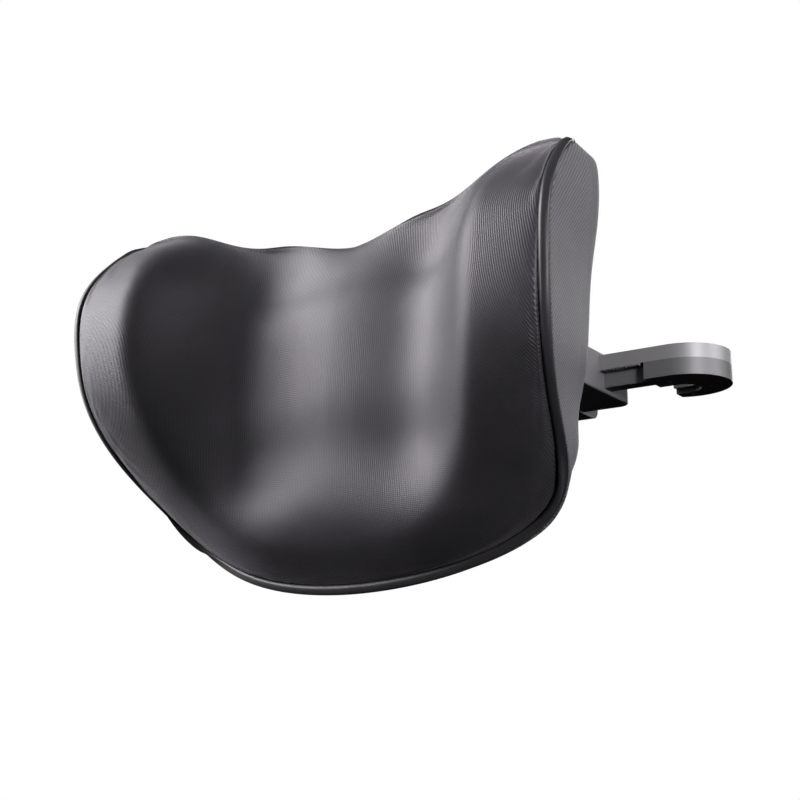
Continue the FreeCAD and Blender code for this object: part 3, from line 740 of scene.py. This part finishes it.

# ---------------------------------------------------------------------------------------------
# the release levers' springs, as coils of one fixed length
# ---------------------------------------------------------------------------------------------
SPRING_PLACE = (83.0, 3.2)
SPRING_LOW = -8.45
SPRING_HIGH = 6.75
SPRING_RADIUS = 2.0
SPRING_WIRE = 0.3
SPRING_TURNS = 7
STEPS_PER_TURN = 20
WIRE_SIDES = 8


def spring_rows(x, y):
    """Small rings of wire along a helix."""
    made = []
    for at in np.linspace(0.0, 1.0, SPRING_TURNS * STEPS_PER_TURN + 1):
        turn = 2 * math.pi * SPRING_TURNS * at
        outward = np.array([math.cos(turn), math.sin(turn), 0.0])
        centre = np.array([x, y, SPRING_LOW + (SPRING_HIGH - SPRING_LOW) * at])
        centre = centre + outward * SPRING_RADIUS
        made.append([centre + SPRING_WIRE * (outward * math.cos(a) + np.array([0, 0, math.sin(a)]))
                     for a in np.linspace(0.0, 2 * math.pi, WIRE_SIDES + 1)[:-1]])
    return made


for side, sign in (("right", 1), ("left", -1)):
    rings = spring_rows(sign * SPRING_PLACE[0], SPRING_PLACE[1])
    first = np.mean(rings[0], axis=0)
    last = np.mean(rings[-1], axis=0)
    spring = new_object("spring_coil_" + side, *ring_mesh(rings, first, last), SPRING_LOOK)
    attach(spring, "crossbar")
    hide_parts("lever_spring_" + side)
    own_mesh(spring)

# ---------------------------------------------------------------------------------------------
# floor, light and camera
# ---------------------------------------------------------------------------------------------
FLOOR_Z = -0.80
FLOOR_SIZE = 12.0
# the floor glows a little and sends no light back, so it stays pale under a dark room
floor_nodes = Nodes("pale_floor", Roughness=0.9, Emission_Strength=0.5)
floor_nodes.shader.inputs["Emission Color"].default_value = (1.0, 1.0, 1.0, 1.0)
floor_nodes.colour(floor_nodes.ramp(floor_nodes.noise(3.0), ((0.3, 0.58), (0.7, 0.62))))
bpy.ops.mesh.primitive_grid_add(x_subdivisions=8, y_subdivisions=8, size=FLOOR_SIZE,
                                location=(0, 0, FLOOR_Z))
floor = bpy.context.object
floor.name = "floor"
floor.visible_diffuse = False
floor.visible_glossy = False
floor.data.materials.append(floor_nodes.material)

LIGHT_SPREAD = 56.0


def area_light(name, place, target, size, power, spread=LIGHT_SPREAD):
    """A soft rectangular light that faces its target; the spread is in degrees."""
    data = bpy.data.lights.new(name, "AREA")
    data.shape = "RECTANGLE"
    data.size, data.size_y = size
    data.energy = power
    data.spread = math.radians(spread)
    obj = bpy.data.objects.new(name, data)
    bpy.context.scene.collection.objects.link(obj)
    obj.location = place
    obj.rotation_euler = (Vector(target) - Vector(place)).to_track_quat("-Z", "Y").to_euler()


MIDDLE = (0.0, -0.07, 0.0)
RIGHT_HOOK = (0.18, 0.0, 0.0)
area_light("key_left", (-1.22, -0.82, 0.52), MIDDLE, (1.3, 1.1), 5.2)
area_light("key_high", (-1.10, -0.45, 0.85), MIDDLE, (0.8, 0.8), 2.0)
area_light("edge_left", (-1.30, 0.10, 0.20), MIDDLE, (0.6, 1.1), 0.9)
area_light("front_fill", (-0.75, -1.20, 0.60), MIDDLE, (1.2, 1.0), 0.5)
area_light("side_right", (1.20, 0.20, 0.45), MIDDLE, (0.8, 0.8), 1.7)
area_light("arm_side", (0.95, -0.60, 0.05), RIGHT_HOOK, (0.25, 0.25), 0.30, spread=20.0)
area_light("back_fill", (-0.30, 1.50, 0.60), MIDDLE, (1.2, 1.0), 2.5)

# the world: white where the camera sees it, and otherwise a faint light from above
AMBIENT = 0.03
SKY_BELOW = (0.10, 0.10, 0.11, 1.0)
SKY_ABOVE = (0.95, 0.95, 1.0, 1.0)
SKY_FULL_AT = 0.6
world = bpy.data.worlds.new("studio")
bpy.context.scene.world = world
world.use_nodes = True
tree = world.node_tree
tree.nodes.clear()
output = tree.nodes.new("ShaderNodeOutputWorld")
mix = tree.nodes.new("ShaderNodeMixShader")
path = tree.nodes.new("ShaderNodeLightPath")
ambient = tree.nodes.new("ShaderNodeBackground")
ambient.inputs["Strength"].default_value = AMBIENT
facing = tree.nodes.new("ShaderNodeTexCoord")
split = tree.nodes.new("ShaderNodeSeparateXYZ")
sky = tree.nodes.new("ShaderNodeValToRGB")
sky.color_ramp.elements[0].position = 0.0
sky.color_ramp.elements[0].color = SKY_BELOW
sky.color_ramp.elements[1].position = SKY_FULL_AT
sky.color_ramp.elements[1].color = SKY_ABOVE
tree.links.new(facing.outputs["Generated"], split.inputs[0])
tree.links.new(split.outputs["Z"], sky.inputs[0])
tree.links.new(sky.outputs[0], ambient.inputs["Color"])
backdrop = tree.nodes.new("ShaderNodeBackground")
backdrop.inputs["Color"].default_value = (1.0, 1.0, 1.0, 1.0)
backdrop.inputs["Strength"].default_value = 1.0
tree.links.new(path.outputs["Is Camera Ray"], mix.inputs[0])
tree.links.new(ambient.outputs[0], mix.inputs[1])
tree.links.new(backdrop.outputs[0], mix.inputs[2])
tree.links.new(mix.outputs[0], output.inputs["Surface"])

CAMERA_PLACE = Vector((0.38641, -0.60610, -0.17375))
CAMERA_YAW = math.radians(33.375)
CAMERA_PITCH = math.radians(14.105)
SENSOR = 36.0
LENS = 62.76
camera_data = bpy.data.cameras.new("camera")
camera_data.sensor_width = SENSOR
camera_data.lens = LENS
camera = bpy.data.objects.new("camera", camera_data)
bpy.context.scene.collection.objects.link(camera)
ahead = Vector((-math.sin(CAMERA_YAW) * math.cos(CAMERA_PITCH),
                math.cos(CAMERA_YAW) * math.cos(CAMERA_PITCH), math.sin(CAMERA_PITCH)))
right = Vector((math.cos(CAMERA_YAW), math.sin(CAMERA_YAW), 0.0))
upward = right.cross(ahead)
turned = Matrix((right, upward, -ahead)).transposed().to_4x4()
camera.matrix_world = Matrix.Translation(CAMERA_PLACE) @ turned
bpy.context.scene.camera = camera
bpy.context.scene.view_settings.view_transform = "Standard"
